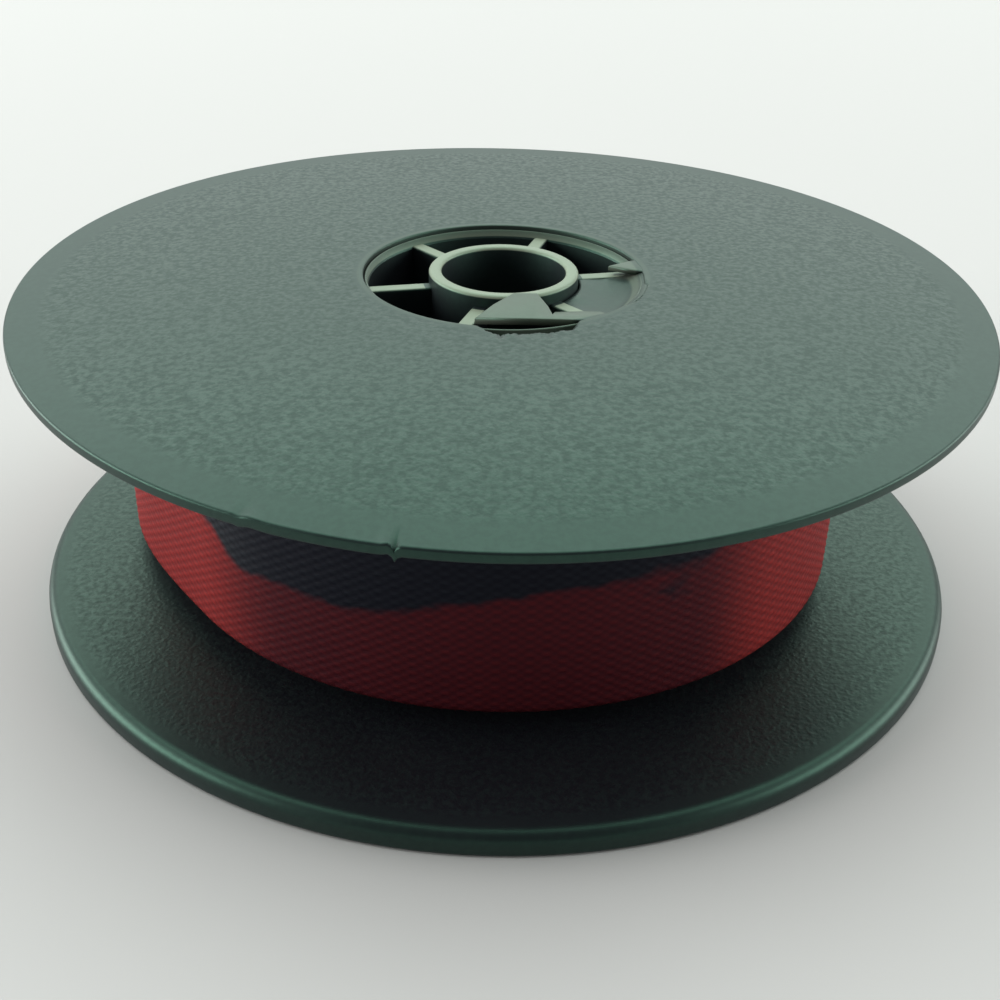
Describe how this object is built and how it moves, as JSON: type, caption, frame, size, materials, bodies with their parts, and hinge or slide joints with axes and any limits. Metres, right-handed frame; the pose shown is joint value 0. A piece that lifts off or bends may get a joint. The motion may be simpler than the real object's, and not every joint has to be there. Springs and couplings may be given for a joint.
{
  "type": "typewriter ribbon spool",
  "caption": "Spool with wide round flanges and an open spoked hub, wound with black and red inked woven ribbon for a typewriter or adding machine.",
  "frame": {"origin": "on the spool's axis, in the plane that the lower flange rests on", "axes": "+Z along the axis, towards the flange that is pressed on; -Y is the side without the ribbon's free end"},
  "size_m": [0.054, 0.054, 0.0184],
  "materials": {
    "spool_body": "black polystyrene, fine spark-eroded grain, smooth rims",
    "upper_flange": "black polystyrene, fine spark-eroded grain, smooth rim",
    "ribbon": "inked plain-weave ribbon, red lower half and black upper half",
    "eyelets": "tumbled brass"
  },
  "bodies": {
    "root": {"spool_body": "spool_body", "upper_flange": "upper_flange", "ribbon": "ribbon", "inner_eyelet": "eyelets", "outer_eyelet": "eyelets"}
  },
  "joints": []
}
